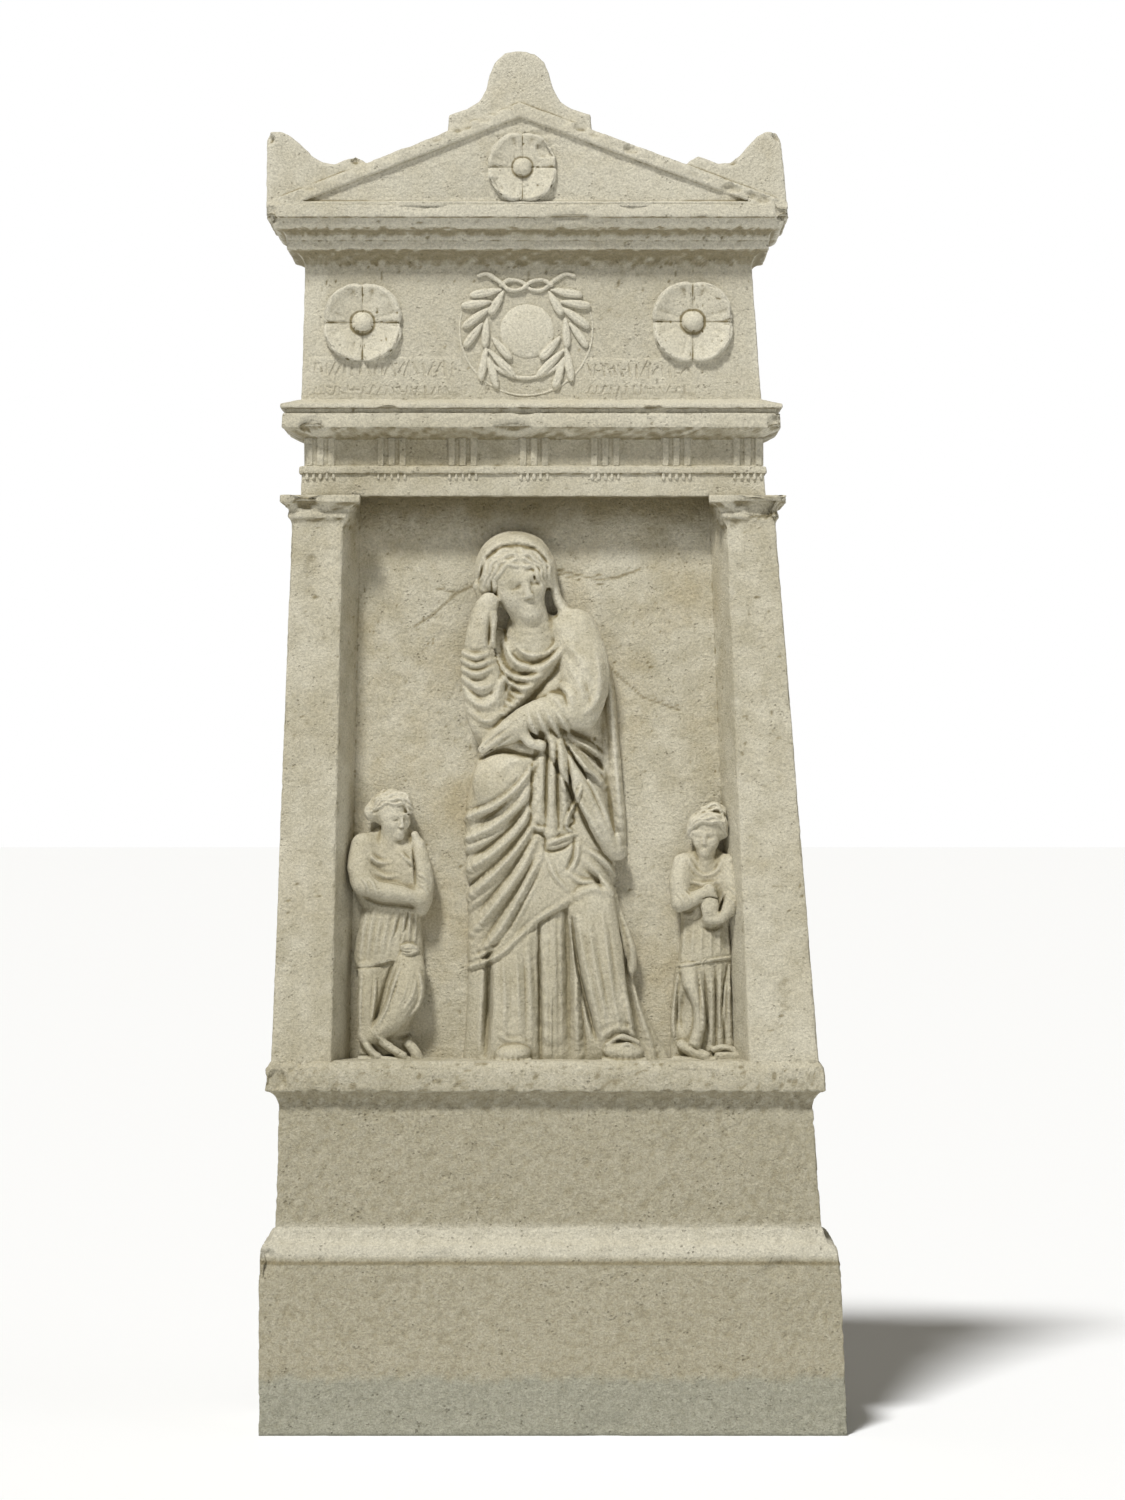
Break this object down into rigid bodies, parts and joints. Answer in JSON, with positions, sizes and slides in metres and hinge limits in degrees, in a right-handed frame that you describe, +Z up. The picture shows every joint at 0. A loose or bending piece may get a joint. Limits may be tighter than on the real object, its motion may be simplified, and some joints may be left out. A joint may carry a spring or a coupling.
{
  "type": "carved stone stele",
  "caption": "Marble grave stele shaped as a temple front, with standing figures in relief in its recess, a wreath and rosettes above and a pediment on top.",
  "frame": {"origin": "middle of the foot, on the surface it stands on", "axes": "+Z up, +X to the viewer's right, the carved front faces -Y"},
  "size_m": [0.637, 0.19, 1.5],
  "materials": {
    "marble": "weathered matt marble with brown and grey patina"
  },
  "bodies": {
    "root": {"stele": "marble"}
  },
  "joints": []
}
